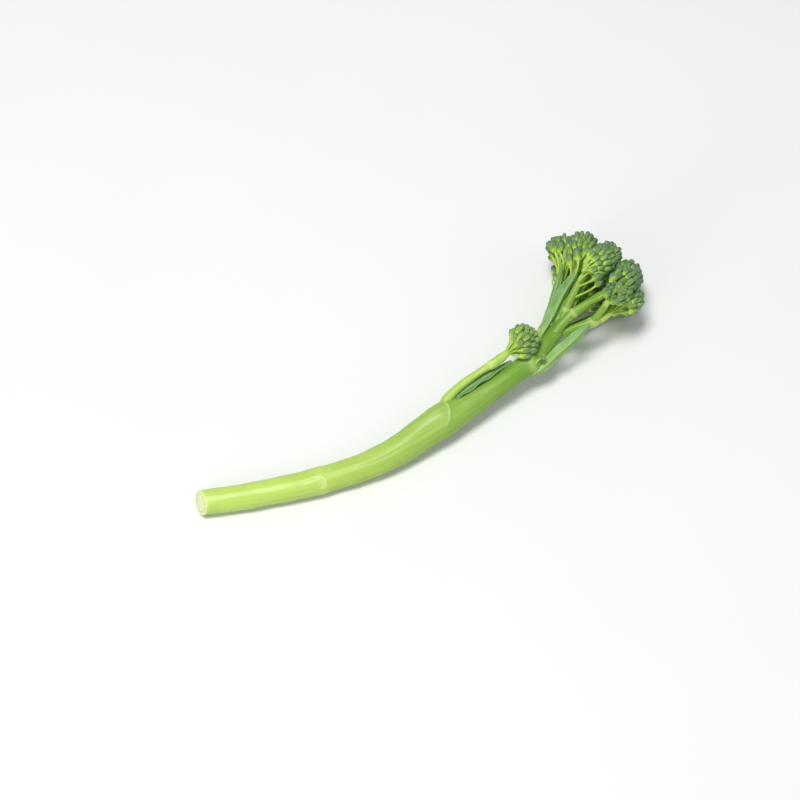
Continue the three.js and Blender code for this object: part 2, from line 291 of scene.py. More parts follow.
class Heap:
    """Gathers closed shapes into one mesh."""

    def __init__(self):
        self.points, self.quads, self.triangles, self.slots = [], [], [], []
        self.values = {}
        self.count = 0

    def add(self, points, quads, triangles, values, slot=0):
        self.points.append(points)
        self.quads.append(np.asarray(quads, int).reshape(-1, 4) + self.count)
        self.triangles.append(np.asarray(triangles, int).reshape(-1, 3) + self.count)
        self.slots.append((slot, len(quads), len(triangles)))
        for key, value in values.items():
            self.values.setdefault(key, []).append(value)
        self.count += len(points)

    def write(self, name, materials):
        slots = ([np.full(quads, slot) for slot, quads, _ in self.slots]
                 + [np.full(triangles, slot) for slot, _, triangles in self.slots])
        values = {key: np.concatenate(value) for key, value in self.values.items()}
        return write_mesh(name, np.concatenate(self.points), np.concatenate(self.quads),
                          np.concatenate(self.triangles), values, materials, np.concatenate(slots))


def smoothstep(low, high, value):
    t = np.clip((value - low) / (high - low), 0, 1)
    return t * t * (3 - 2 * t)


def bump(value, middle, spread):
    return np.exp(-((value - middle) / spread) ** 2)


def unit(vector):
    return vector / np.linalg.norm(vector)


def follow_route(route, step):
    """Points every `step` along a smooth curve through the route, and what its other columns hold there."""
    knots = np.asarray(route, float)
    padded = np.vstack([2 * knots[0] - knots[1], knots, 2 * knots[-1] - knots[-2]])
    t = np.linspace(0, 1, 40, endpoint=False)[:, None]
    spans = []
    for a, b, c, d in zip(padded, padded[1:], padded[2:], padded[3:]):
        spans.append(0.5 * (2 * b + (c - a) * t + (2 * a - 5 * b + 4 * c - d) * t ** 2
                            + (3 * b - a - 3 * c + d) * t ** 3))
    fine = np.vstack(spans + [knots[-1:]])
    travel = np.concatenate([[0], np.cumsum(np.linalg.norm(np.diff(fine[:, :3], axis=0), axis=1))])
    even = np.linspace(0, travel[-1], max(int(travel[-1] / step) + 1, 4))
    return np.column_stack([np.interp(even, travel, column) for column in fine.T]), even


def carry_frames(middles, first):
    """Directions square to the curve, carried along it without twisting."""
    along = np.gradient(middles, axis=0)
    along /= np.linalg.norm(along, axis=1)[:, None]
    ups = np.empty_like(along)
    up = np.asarray(first, float)
    for index, direction in enumerate(along):
        up = unit(up - direction * up.dot(direction))
        ups[index] = up
    return along, ups, np.cross(along, ups)


def wander(travel, turn, rng, waves, size):
    """A gentle unevenness of a round stem: a few waves along and around it."""
    total = np.zeros(np.broadcast(travel, turn).shape)
    for _ in range(waves):
        lobes = rng.integers(0, 4)
        length = rng.uniform(9, 34)
        phase = rng.uniform(0, 2 * math.pi, 2)
        total += np.sin(lobes * turn + phase[0]) * np.sin(travel / length * 2 * math.pi + phase[1])
    return total * size / waves


def tube_faces(rings, around):
    ring = np.arange(rings - 1)[:, None] * around
    side = np.arange(around)[None, :]
    after = (side + 1) % around
    quads = np.stack([ring + side, ring + after, ring + around + after, ring + around + side], axis=-1)
    foot, head = rings * around, rings * around + 1
    last = (rings - 1) * around
    side = side[0]
    after = after[0]
    caps = [np.column_stack([np.full(around, foot), after, side]),
            np.column_stack([np.full(around, head), last + side, last + after])]
    return quads.reshape(-1, 4), np.concatenate(caps)


def tube(route, around, step, relief=None, first=(0, 0, 1)):
    """A closed round stem. `relief` gives the height of its surface over the plain radius."""
    rows, travel = follow_route(route, step)
    along, ups, sides = carry_frames(rows[:, :3], first)
    turn = np.arange(around) / around * 2 * math.pi
    radius = np.repeat(rows[:, 3:4], around, axis=1)
    if relief is not None:
        radius = radius + relief(travel[:, None], turn[None, :])
    rise = np.cos(turn)[None, :, None] * ups[:, None, :] + np.sin(turn)[None, :, None] * sides[:,
                                                                                               None, :]
    points = rows[:, None, :3] + rise * radius[..., None]
    quads, caps = tube_faces(len(rows), around)
    grain = np.stack([np.cos(turn)[None, :] * radius, np.sin(turn)[None, :] * radius,
                      np.repeat(travel[:, None], around, axis=1)], axis=-1)
    ends = np.array([rows[0, :3], rows[-1, :3]])
    end_grain = np.array([[0, 0, travel[0]], [0, 0, travel[-1]]])
    return {
        "points": np.concatenate([points.reshape(-1, 3), ends]), "quads": quads, "triangles": caps,
        "grain": np.concatenate([grain.reshape(-1, 3), end_grain]), "travel": travel, "turn": turn,
        "along": along, "middles": rows[:, :3],
    }


def per_point(grid, shape):
    """A value for every point of a tube, with its two end points added."""
    full = np.broadcast_to(grid, shape)
    return np.concatenate([full.ravel(), [full[0].mean(), full[-1].mean()]])


def settle(piece, node):
    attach(piece, BODY)
    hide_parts(node)


# ---------------------------------------------------------------- shader groups
def new_group(name, inputs, outputs):
    group = bpy.data.node_groups.new(name, "ShaderNodeTree")
    for label, kind, default in inputs:
        socket = group.interface.new_socket(name=label, in_out="INPUT", socket_type=kind)
        if default is not None:
            socket.default_value = default
    for label, kind in outputs:
        group.interface.new_socket(name=label, in_out="OUTPUT", socket_type=kind)
    return group, group.nodes.new("NodeGroupInput"), group.nodes.new("NodeGroupOutput")


def grain_group():
    """Fibres that run along a stem, and softer clouds between them, from straightened coordinates."""
    group, inside, outside = new_group(
        "Stem Grain",
        (("Grain", "NodeSocketVector", None), ("Fineness", "NodeSocketFloat", 1.6),
         ("Stretch", "NodeSocketFloat", 0.06)),
        (("Fibres", "NodeSocketFloat"), ("Clouds", "NodeSocketFloat"), ("Pores", "NodeSocketFloat")))
    nodes, links = group.nodes, group.links
    squeeze = nodes.new("ShaderNodeCombineXYZ")
    squeeze.inputs["X"].default_value = 1
    squeeze.inputs["Y"].default_value = 1
    links.new(inside.outputs["Stretch"], squeeze.inputs["Z"])
    stretched = nodes.new("ShaderNodeVectorMath")
    stretched.operation = "MULTIPLY"
    links.new(inside.outputs["Grain"], stretched.inputs[0])
    links.new(squeeze.outputs[0], stretched.inputs[1])
    fibres = nodes.new("ShaderNodeTexNoise")
    fibres.inputs["Detail"].default_value = 4
    fibres.inputs["Roughness"].default_value = 0.62
    links.new(stretched.outputs[0], fibres.inputs["Vector"])
    links.new(inside.outputs["Fineness"], fibres.inputs["Scale"])
    clouds = nodes.new("ShaderNodeTexNoise")
    clouds.inputs["Scale"].default_value = 0.16
    clouds.inputs["Detail"].default_value = 3
    links.new(inside.outputs["Grain"], clouds.inputs["Vector"])
    pores = nodes.new("ShaderNodeTexVoronoi")
    pores.inputs["Scale"].default_value = 0.9
    links.new(inside.outputs["Grain"], pores.inputs["Vector"])
    near = nodes.new("ShaderNodeMapRange")
    near.inputs["From Min"].default_value = 0.04
    near.inputs["From Max"].default_value = 0.16
    near.inputs["To Min"].default_value = 1
    near.inputs["To Max"].default_value = 0
    links.new(pores.outputs["Distance"], near.inputs["Value"])
    links.new(fibres.outputs["Fac"], outside.inputs["Fibres"])
    links.new(clouds.outputs["Fac"], outside.inputs["Clouds"])
    links.new(near.outputs["Result"], outside.inputs["Pores"])
    return group


def bloom_group():
    """Patchy whitish wax over a colour, which also dulls the skin."""
    group, inside, outside = new_group(
        "Waxy Bloom",
        (("Colour", "NodeSocketColor", (0.2, 0.4, 0.1, 1)),
         ("Wax", "NodeSocketColor", (0.4, 0.5, 0.4, 1)),
         ("Amount", "NodeSocketFloat", 0.5), ("Scale", "NodeSocketFloat", 600.0)),
        (("Colour", "NodeSocketColor"), ("Roughness", "NodeSocketFloat")))
    nodes, links = group.nodes, group.links
    place = nodes.new("ShaderNodeTexCoord")
    patches = nodes.new("ShaderNodeTexNoise")
    patches.inputs["Detail"].default_value = 5
    patches.inputs["Roughness"].default_value = 0.66
    links.new(place.outputs["Object"], patches.inputs["Vector"])
    links.new(inside.outputs["Scale"], patches.inputs["Scale"])
    ramp = nodes.new("ShaderNodeMapRange")
    ramp.inputs["From Min"].default_value = 0.32
    ramp.inputs["From Max"].default_value = 0.72
    links.new(patches.outputs["Fac"], ramp.inputs["Value"])
    cover = nodes.new("ShaderNodeMath")
    cover.operation = "MULTIPLY"
    links.new(ramp.outputs["Result"], cover.inputs[0])
    links.new(inside.outputs["Amount"], cover.inputs[1])
    mix = nodes.new("ShaderNodeMix")
    mix.data_type = "RGBA"
    links.new(cover.outputs[0], mix.inputs[MIX_FACTOR])
    links.new(inside.outputs["Colour"], mix.inputs[MIX_FIRST])
    links.new(inside.outputs["Wax"], mix.inputs[MIX_SECOND])
    dull = nodes.new("ShaderNodeMapRange")
    dull.inputs["To Min"].default_value = 0.38
    dull.inputs["To Max"].default_value = 0.72
    links.new(cover.outputs[0], dull.inputs["Value"])
    links.new(mix.outputs[MIX_RESULT], outside.inputs["Colour"])
    links.new(dull.outputs["Result"], outside.inputs["Roughness"])
    return group


def shared_group(name, make):
    return bpy.data.node_groups.get(name) or make()


# ---------------------------------------------------------------- materials
def new_material(name, roughness, flesh_depth=0.0):
    """An empty plant skin: returns its node tree and its Principled BSDF."""
    material = bpy.data.materials.new(name)
    material.use_nodes = True
    tree = material.node_tree
    shader = tree.nodes["Principled BSDF"]
    shader.inputs["Roughness"].default_value = roughness
    shader.inputs["IOR"].default_value = 1.42
    if flesh_depth:
        shader.inputs["Subsurface Weight"].default_value = 0.35
        shader.inputs["Subsurface Radius"].default_value = (1.0, 0.9, 0.35)
        shader.inputs["Subsurface Scale"].default_value = flesh_depth
    return material, tree, shader


def read_value(tree, name, vector=False):
    node = tree.nodes.new("ShaderNodeAttribute")
    node.attribute_name = name
    return node.outputs["Vector" if vector else "Fac"]


def place_group(tree, group, **inputs):
    node = tree.nodes.new("ShaderNodeGroup")
    node.node_tree = group
    for label, value in inputs.items():
        socket = node.inputs[label]
        if isinstance(value, bpy.types.NodeSocket):
            tree.links.new(value, socket)
        else:
            socket.default_value = value
    return node


def blend_colours(tree, factor, first, second, mode="MIX"):
    node = tree.nodes.new("ShaderNodeMix")
    node.data_type = "RGBA"
    node.blend_type = mode
    for socket, value in ((MIX_FACTOR, factor), (MIX_FIRST, first), (MIX_SECOND, second)):
        if isinstance(value, bpy.types.NodeSocket):
            tree.links.new(value, node.inputs[socket])
        elif socket == MIX_FACTOR:
            node.inputs[socket].default_value = value
        else:
            node.inputs[socket].default_value = (*value, 1)
    return node.outputs[MIX_RESULT]


def remap(tree, value, low, high, to_low=0.0, to_high=1.0):
    node = tree.nodes.new("ShaderNodeMapRange")
    node.inputs["From Min"].default_value = low
    node.inputs["From Max"].default_value = high
    node.inputs["To Min"].default_value = to_low
    node.inputs["To Max"].default_value = to_high
    tree.links.new(value, node.inputs["Value"])
    return node.outputs["Result"]


def relief_normal(tree, shader, heights):
    """Chains a Bump node for each (height, strength, depth in metres) and feeds the shader's normal."""
    normal = None
    for height, strength, depth in heights:
        node = tree.nodes.new("ShaderNodeBump")
        node.inputs["Strength"].default_value = strength
        node.inputs["Distance"].default_value = depth
        tree.links.new(height, node.inputs["Height"])
        if normal is not None:
            tree.links.new(normal, node.inputs["Normal"])
        normal = node.outputs["Normal"]
    tree.links.new(normal, shader.inputs["Normal"])


def tinted(colour, factor):
    return tuple(min(channel * factor, 1.0) for channel in colour)


def stem_skin(name, settings, fineness):
    """Smooth stem skin: pale at the foot and the joints, green towards the crown, with fibres; its green mask
    also carries painted shade on the stem's underside and on the low branches.
    """
    material, tree, shader = new_material(name, 0.4, flesh_depth=0.0022)
    grain = place_group(tree, shared_group("Stem Grain", grain_group),
                        Grain=read_value(tree, "grain", vector=True), Fineness=fineness, Stretch=0.05)
    green = read_value(tree, "green")
    pale = read_value(tree, "pale")
    skin = blend_colours(tree, green, settings.foot_colour, settings.crown_colour)
    clouds = remap(tree, grain.outputs["Clouds"], 0.3, 0.7)
    skin = blend_colours(tree, clouds, skin, blend_colours(tree, 0.16, skin, settings.crown_colour))
    fibres = remap(tree, grain.outputs["Fibres"], 0.36, 0.66)
    lighter = blend_colours(tree, 0.14, skin, settings.scar_colour)
    skin = blend_colours(tree, fibres, skin, lighter)
    skin = blend_colours(tree, pale, skin, settings.scar_colour)
    specks = remap(tree, grain.outputs["Pores"], 0.0, 1.0, 0.0, 0.22)
    skin = blend_colours(tree, specks, skin, tinted(settings.scar_colour, 1.15))
    tree.links.new(skin, shader.inputs["Base Color"])
    tree.links.new(remap(tree, grain.outputs["Clouds"], 0.3, 0.7, 0.33, 0.46),
                   shader.inputs["Roughness"])
    relief_normal(tree, shader,
                  ((grain.outputs["Fibres"], 0.22, 0.00025), (grain.outputs["Pores"], 0.12, 0.0001)))
    return material


def cut_flesh(settings):
    """The knife cut: pale wet flesh with short fibres and a ring of vessels near the skin."""
    material, tree, shader = new_material("cut_flesh", 0.36, flesh_depth=0.002)
    core = read_value(tree, "core")
    grain = read_value(tree, "grain", vector=True)
    cells = tree.nodes.new("ShaderNodeTexVoronoi")
    cells.inputs["Scale"].default_value = 2.4
    tree.links.new(grain, cells.inputs["Vector"])
    streaks = tree.nodes.new("ShaderNodeTexNoise")
    streaks.inputs["Scale"].default_value = 1.3
    streaks.inputs["Detail"].default_value = 5
    tree.links.new(grain, streaks.inputs["Vector"])
    flesh = blend_colours(tree, remap(tree, streaks.outputs["Fac"], 0.35, 0.7), settings.flesh_colour,
                          tinted(settings.flesh_colour, 1.18))
    flesh = blend_colours(tree, remap(tree, cells.outputs["Distance"], 0.1, 0.5, 0.0, 0.35), flesh,
                          tinted(settings.flesh_colour, 0.8))
    ring = tree.nodes.new("ShaderNodeValToRGB")
    ring.color_ramp.elements[0].position = 0.6
    ring.color_ramp.elements[0].color = (0, 0, 0, 1)
    ring.color_ramp.elements[1].position = 0.72
    ring.color_ramp.elements[1].color = (1, 1, 1, 1)
    for position, level in ((0.8, 0.8), (0.88, 0.1)):
        ring.color_ramp.elements.new(position).color = (level, level, level, 1)
    tree.links.new(core, ring.inputs["Fac"])
    flesh = blend_colours(tree, remap(tree, ring.outputs["Color"], 0, 1, 0, 0.5), flesh,
                          tinted(settings.foot_colour, 0.86))
    rim = remap(tree, core, 0.9, 0.97)
    flesh = blend_colours(tree, rim, flesh, tinted(settings.scar_colour, 1.2))
    tree.links.new(flesh, shader.inputs["Base Color"])
    relief_normal(tree, shader,
                  ((streaks.outputs["Fac"], 0.4, 0.0003), (cells.outputs["Distance"], 0.25, 0.00015)))
    return material


def bud_skin(settings):
    """Bud skin from a yellow-green foot to a dark tip under a whitish bloom, with painted shade darkening its
    seams.
    """
    material, tree, shader = new_material("bud_skin", 0.55, flesh_depth=0.0006)
    ripe = read_value(tree, "ripe")
    shade = read_value(tree, "shade")
    ramp = tree.nodes.new("ShaderNodeValToRGB")
    foot, tip = settings.bud_foot_colour, settings.bud_tip_colour
    middle = tuple((a + b * 1.8) / 2.6 for a, b in zip(foot, tip))
    ramp.color_ramp.elements[0].position = 0.2
    ramp.color_ramp.elements[0].color = (*foot, 1)
    ramp.color_ramp.elements[1].position = 0.9
    ramp.color_ramp.elements[1].color = (*tip, 1)
    ramp.color_ramp.elements.new(0.46).color = (*middle, 1)
    tree.links.new(ripe, ramp.inputs["Fac"])
    skin = blend_colours(tree, shade, ramp.outputs["Color"], foot)
    amount = remap(tree, ripe, 0.35, 0.9, 0.05, 0.85)
    bloom = place_group(tree, shared_group("Waxy Bloom", bloom_group), Colour=skin,
                        Wax=(*settings.bloom_colour, 1), Amount=amount, Scale=900.0)
    # Painted shade: the seams between the sepals are darkened towards a dark tip colour.
    seam_shade = blend_colours(tree, remap(tree, read_value(tree, "seam"), 0, 1, 0, 0.6),
                          bloom.outputs["Colour"], tinted(settings.bud_tip_colour, 0.4))
    tree.links.new(seam_shade, shader.inputs["Base Color"])
    tree.links.new(bloom.outputs["Roughness"], shader.inputs["Roughness"])
    place = tree.nodes.new("ShaderNodeTexCoord")
    pimples = tree.nodes.new("ShaderNodeTexNoise")
    pimples.inputs["Scale"].default_value = 2600
    pimples.inputs["Detail"].default_value = 3
    tree.links.new(place.outputs["Object"], pimples.inputs["Vector"])
    relief_normal(tree, shader, ((pimples.outputs["Fac"], 0.3, 0.00012),))
    return material


def leaf_skin(settings, wax):
    """Leaf skin: grey-green blade with a pale midrib, side veins, pale edges and bloom."""
    material, tree, shader = new_material("leaf_skin", 0.55)
    rib = read_value(tree, "rib")
    vein = read_value(tree, "vein")
    skin = blend_colours(tree, read_value(tree, "pale"), settings.blade_colour, settings.rib_colour)
    bloom = place_group(tree, shared_group("Waxy Bloom", bloom_group), Colour=skin, Wax=(*wax, 1),
                        Amount=0.4, Scale=420.0)
    skin = blend_colours(tree, remap(tree, vein, 0, 1, 0, 0.35), bloom.outputs["Colour"],
                         settings.rib_colour)
    skin = blend_colours(tree, remap(tree, rib, 0, 1, 0, 0.5), skin, settings.rib_colour)
    tree.links.new(skin, shader.inputs["Base Color"])
    tree.links.new(bloom.outputs["Roughness"], shader.inputs["Roughness"])
    place = tree.nodes.new("ShaderNodeTexCoord")
    cells = tree.nodes.new("ShaderNodeTexNoise")
    cells.inputs["Scale"].default_value = 1500
    cells.inputs["Detail"].default_value = 4
    tree.links.new(place.outputs["Object"], cells.inputs["Vector"])
    relief_normal(tree, shader, ((vein, 0.5, 0.0002), (cells.outputs["Fac"], 0.25, 0.00015)))
    return material


def shared_material(name, make):
    return bpy.data.materials.get(name) or make()


def branch_material():
    return shared_material("branch_skin", lambda: stem_skin(
        "branch_skin", bpy.context.scene.broccolini_stem, 2.6))


def bud_material():
    return shared_material("bud_skin", lambda: bud_skin(bpy.context.scene.broccolini_crown))


# ---------------------------------------------------------------- main stem
FIRST_JOINT = 44.0            # along the stem: the broken leaf scar
SHOOT_JOINT = 95.5            # where the side shoot leaves
LEAF_JOINT = 135.5            # where the long leaf leaves
SCAR_TURN = math.radians(38)  # the scar faces this way round from the stem's top
SCAR_RADII = (2.0, 1.5)
LOWER_STEM_RADIUS = 4.9
SHOOT_TURN = math.radians(-48)
LEAF_TURN = math.radians(62)


def around_from(turn, middle):
    """Angle round the stem from `middle`, between minus and plus half a turn."""
    return (turn - middle + math.pi) % (2 * math.pi) - math.pi


def leaf_scar(travel, turn):
    """Distance from the scar's middle in scar radii, its ragged weave and the side that faces the crown."""
    aside = around_from(turn, SCAR_TURN) * LOWER_STEM_RADIUS
    forward = travel - FIRST_JOINT
    reach = np.hypot(aside / SCAR_RADII[0], forward / SCAR_RADII[1])
    ragged = np.sin(5 * turn + 3.1 * travel) * np.sin(8.3 * turn)
    return reach, ragged, smoothstep(-0.9, 0.5, forward)


def shoot_shoulder(turn):
    """Angle from the middle of the pad under the side shoot, and where the pad ends along the stem."""
    shoulder = around_from(turn, SHOOT_TURN + 0.2)
    return np.abs(shoulder), SHOOT_JOINT + 3.6 - 6.2 * (shoulder / 1.5) ** 2


def leaf_clasp(turn):
    """Angle from the middle of the upper leaf's foot, and where its rim lies along the stem."""
    clasp = around_from(turn, LEAF_TURN)
    return np.abs(clasp), LEAF_JOINT - 1.6 + 2.4 * (clasp / 1.2) ** 2


def stem_relief(travel, turn):
    """Height of the stem's skin: joints, the leaf scar, the swelling under the side shoot, faint ribs."""
    rng = np.random.default_rng(SEED)
    height = wander(travel, turn, rng, 14, 0.42)
    height = height + 0.035 * np.sin(11 * turn + 0.02 * travel) * smoothstep(0, 30, travel)
    height = height + 0.03 * np.sin(17 * turn - 0.035 * travel + 1.3)
    for place, size, spread in ((FIRST_JOINT, 0.22, 3.2), (SHOOT_JOINT, 0.35, 5), (LEAF_JOINT, 0.3, 3)):
        height = height + size * bump(travel, place, spread)
    reach, ragged, crown_side = leaf_scar(travel, turn)
    height = height + (0.1 + 0.46 * crown_side) * bump(reach, 1.0, 0.22) * (0.55 + 0.45 * ragged)
    height = height - 0.16 * bump(reach, 0.0, 0.6)
    shoulder, edge = shoot_shoulder(turn)
    pad = smoothstep(edge - 13, edge - 2, travel) * smoothstep(edge + 0.5, edge - 0.25, travel)
    height = height + smoothstep(1.75, 1.35, shoulder) * (0.28 * pad + 0.26 * bump(travel, edge, 0.42))
    swelling = smoothstep(SHOOT_JOINT - 40, SHOOT_JOINT - 3, travel)
    swelling = swelling * smoothstep(SHOOT_JOINT + 14, SHOOT_JOINT, travel)
    height = height + 2.5 * swelling * bump(around_from(turn, SHOOT_TURN), 0, 0.75)
    clasp, rim = leaf_clasp(turn)
    return height + smoothstep(1.9, 1.3, clasp) * 0.3 * bump(travel, rim, 1.0)


def stem_masks(travel, turn):
    """How green and how pale the skin is at each place; the underside is made greener as painted shade."""
    green = smoothstep(0.02, 1.0, travel / travel.max()) ** 1.1
    # Painted shade: the stem's underside, turned away from the light, is made greener and darker.
    lower = 0.5 - 0.5 * np.cos(turn)
    green = np.clip(green + 0.15 * lower, 0, 1)
    reach, ragged, crown_side = leaf_scar(travel, turn)
    scar = (0.25 + 0.95 * crown_side) * bump(reach, 1.0, 0.2) * (0.5 + 0.5 * ragged)
    scar = scar + 0.3 * bump(reach, 0, 0.8)
    shoulder, edge = shoot_shoulder(turn)
    wide = smoothstep(1.75, 1.2, shoulder)
    pad = wide * smoothstep(edge - 16, edge - 2, travel) * smoothstep(edge + 0.6, edge - 0.2, travel)
    ridge = wide * bump(travel, edge, 0.36)
    clasp, rim = leaf_clasp(turn)
    leaf_ring = bump(travel, rim, 1.7) * smoothstep(2.1, 1.2, clasp)
    first_ring = 0.2 * bump(travel, FIRST_JOINT, 2.0)
    pale = np.clip(scar + 0.1 * pad + 0.5 * ridge + 0.36 * leaf_ring + first_ring, 0, 0.9)
    cut_edge = 0.8 * bump(travel, 0, 0.5)
    return green, np.clip(pale + cut_edge, 0, 0.9)


def make_main_stem(settings):
    stem = tube(STEM_ROUTE, settings.around, settings.step / MM, stem_relief)
    around = settings.around
    rings = len(stem["travel"])
    points = stem["points"]
    lean = math.tan(settings.cut_slant)
    offset = points[:rings * around].reshape(rings, around, 3)
    fade = smoothstep(9, 0, stem["travel"])[:, None]
    radius = np.linalg.norm(offset - stem["middles"][:, None, :], axis=2)
    shift = np.cos(stem["turn"] - settings.cut_turn)[None, :] * radius * lean * fade
    offset += shift[..., None] * stem["along"][:1, None, :]
    offset[..., 2] = np.maximum(offset[..., 2], 0)
    green, pale = stem_masks(stem["travel"][:, None], stem["turn"][None, :])
    heap = Heap()
    skin = stem["quads"]
    head_cap = stem["triangles"][around:]
    shape = (rings, around)
    masks = {"grain": stem["grain"], "green": per_point(green, shape), "pale": per_point(pale, shape),
             "core": np.ones(len(points))}
    heap.add(points, skin, head_cap, masks)
    add_cut_face(heap, offset[0], stem["along"][0], around)
    piece = heap.write("main_stem_skin", [
        shared_material("stem_skin", lambda: stem_skin("stem_skin", settings, 1.5)),
        shared_material("cut_flesh", lambda: cut_flesh(settings))])
    settle(piece, "main_stem")


def add_cut_face(heap, edge, along, around):
    """The oval knife cut: a crisp rim, a faint groove inside the skin, and flesh that bulges a little."""
    rng = np.random.default_rng(SEED + 1)
    middle = edge.mean(axis=0)
    levels = np.concatenate([[1.0, 0.985, 0.965, 0.94], np.linspace(0.9, 0.04, 30)])
    turn = np.arange(around) / around * 2 * math.pi
    points, core = [], []
    for level in levels:
        dome = 0.22 * (1 - level ** 2) - 0.12 * bump(level, 0.93, 0.03)
        rough = 0.05 * np.sin(7 * turn + 9 * level + rng.uniform(0, 1)) * smoothstep(1, 0.85, level)
        points.append(middle + (edge - middle) * level - along * (dome + rough)[:, None])
        core.append(np.full(around, level))
    count = len(levels)
    points = np.concatenate(points + [[middle - along * 0.22]])
    quads, _ = tube_faces(count, around)
    quads = quads[:, ::-1]
    side = np.arange(around)
    last = (count - 1) * around
    fan = np.column_stack([np.full(around, count * around), last + (side + 1) % around, last + side])
    flat = points - middle
    grain = np.column_stack([flat[:, 1], flat[:, 2], flat[:, 0] * 0.3])
    ones = np.ones(len(points))
    heap.add(points, quads, fan, {
        "grain": grain, "green": ones * 0, "pale": ones * 0, "core": np.concatenate(core + [[0.0]])},
        slot=1)


# ---------------------------------------------------------------- side shoot and branches
def branch_relief(seed, rings):
    """Faint ribs, unevenness and swollen rings of a thinner stem."""
    def relief(travel, turn):
        rng = np.random.default_rng(seed)
        height = wander(travel, turn, rng, 8, 0.22) + 0.035 * np.sin(7 * turn + rng.uniform(0, 6))
        for place, size, spread in rings:
            height = height + size * bump(travel, place, spread)
        return height
    return relief


def make_round_stem(name, route, node, seed, rings, greens, fade=None):
    """`greens` are the greenness at the root and at the tip; `fade` is how far the root's reaches."""
    stem = tube(route, 32, 0.45, branch_relief(seed, rings))
    shape = (len(stem["travel"]), 32)
    share = (stem["travel"] / stem["travel"][-1])[:, None]
    pale = sum(0.42 * bump(stem["travel"], place, spread * 1.2) for place, _, spread in rings)[:,
        None] + share * 0
    reached = share if fade is None else smoothstep(0, fade, stem["travel"])[:, None]
    green = greens[0] + (greens[1] - greens[0]) * reached
    heap = Heap()
    heap.add(stem["points"], stem["quads"], stem["triangles"], {
        "grain": stem["grain"], "green": per_point(green, shape),
        "pale": per_point(np.clip(pale, 0, 0.8), shape)})
    settle(heap.write(name, [branch_material()]), node)


# Swollen rings of the branches: (distance along, height, spread).
BRANCH_RINGS = {
    "right_branch": ((18, 0.28, 0.7),),
    "side_branch": ((22, 0.4, 1.6),),
    "top_branch": ((14, 0.2, 0.8),),
    "left_branch": ((12, 0.16, 0.8),),
}


def make_branches():
    for index, (name, route) in enumerate(BRANCH_ROUTES.items()):
        rings = BRANCH_RINGS.get(name, ((9 + index % 4 * 2, 0.12, 0.8),))
        # Painted shade: branches that lie under and behind the crown (low, rear, far, back) stay darker green
        # to their tips.
        low = name.startswith(("low", "rear", "far", "back"))
        make_round_stem(name + "_skin", route, name, SEED + 20 + index, rings,
                        (1.0, 0.85 if low else 0.72))


# ---------------------------------------------------------------- leaves
def make_leaf(route, back, fold, pale_reach, thickness, seed):
    """A closed folded blade: both faces, rounded edges, a midrib on its back and slightly wavy rims."""
    rng = np.random.default_rng(seed)
    rows, travel = follow_route(route, 0.32)
    along = np.gradient(rows[:, :3], axis=0)
    along /= np.linalg.norm(along, axis=1)[:, None]
    inner = -np.asarray(back, float)[None, :]
    inner = inner - along * np.sum(inner * along, axis=1)[:, None]
    inner /= np.linalg.norm(inner, axis=1)[:, None]
    across = np.cross(along, inner)
    columns = 27
    side = np.linspace(-1, 1, columns)[None, :]
    slope = math.radians(fold)
    share = (travel / travel[-1])[:, None]
    half = rows[:, 3:4]
    wave = 0.16 * np.sin(travel[:, None] * 0.75 + rng.uniform(0,
        6) + 1.8 * np.sign(side)) * np.abs(side) ** 2
    bend = slope * (1 - 0.35 * np.abs(side))
    reach = side * half * np.cos(bend)
    rise = np.abs(side) * half * np.sin(bend) + wave * half
    vein = np.clip(np.sin((travel[:, None] * 1.5 - np.abs(side) * 3.4) * 2.1), 0, 1) ** 6 * smoothstep(
        0.05, 0.3, np.abs(side)) * smoothstep(1.0, 0.75, np.abs(side))
    rib = bump(np.abs(side), 0, 0.12) * smoothstep(1.02, 0.7, share)
    thick = thickness / 2 * (1 - 0.6 * np.abs(side) ** 3) * (1 + 0 * share)
    middle = rows[:, None, :3] + across[:, None, :] * reach[..., None] + inner[:, None, :] * rise[...,
                                                                                                  None]
    normal_a = np.gradient(middle, axis=0)
    normal_b = np.gradient(middle, axis=1)
    normal = np.cross(normal_b, normal_a)
    normal /= np.maximum(np.linalg.norm(normal, axis=2), 1e-9)[..., None]
    normal *= np.sign(np.sum(normal * inner[:, None, :], axis=2))[..., None]
    upper = middle + normal * thick[..., None]
    lower = middle - normal * (thick + 0.32 * rib * half / 2 + 0.03 * vein)[..., None]
    count, total = len(rows), len(rows) * columns
    grid = np.arange(total).reshape(count, columns)
    face = np.stack([grid[:-1, :-1], grid[1:, :-1], grid[1:, 1:], grid[:-1, 1:]], axis=-1).reshape(-1,
                                                                                                   4)
    border = np.concatenate([grid[0, :-1], grid[:-1, -1], grid[-1, :0:-1], grid[:0:-1, 0]])
    after = np.roll(border, -1)
    rim = np.column_stack([border, after, after + total, border + total])
    quads = np.concatenate([face[:, ::-1], face + total, rim[:, ::-1]])
    def both(value):
        """The same value on the upper and the lower face."""
        return np.tile(np.broadcast_to(value, (count, columns)).ravel(), 2)

    pale = 0.8 * smoothstep(pale_reach, 0.0, share) + 0.4 * smoothstep(0.86, 1.0,
                                                                       np.abs(side)) * (1 - 0.5 * share)
    values = {"rib": both(rib), "vein": both(vein), "pale": both(np.clip(pale, 0, 1))}
    points = np.concatenate([upper.reshape(-1, 3), lower.reshape(-1, 3)])
    return points, quads, values


def make_leaves(settings, wax):
    for index, (name, shape) in enumerate(LEAVES.items()):
        points, quads, values = make_leaf(*shape, settings.thickness / MM, SEED + 50 + index)
        heap = Heap()
        heap.add(points, quads, np.empty((0, 3), int), values)
        piece = heap.write(name + "_blade",
                           [shared_material("leaf_skin", lambda: leaf_skin(settings, wax))])
        settle(piece, name)


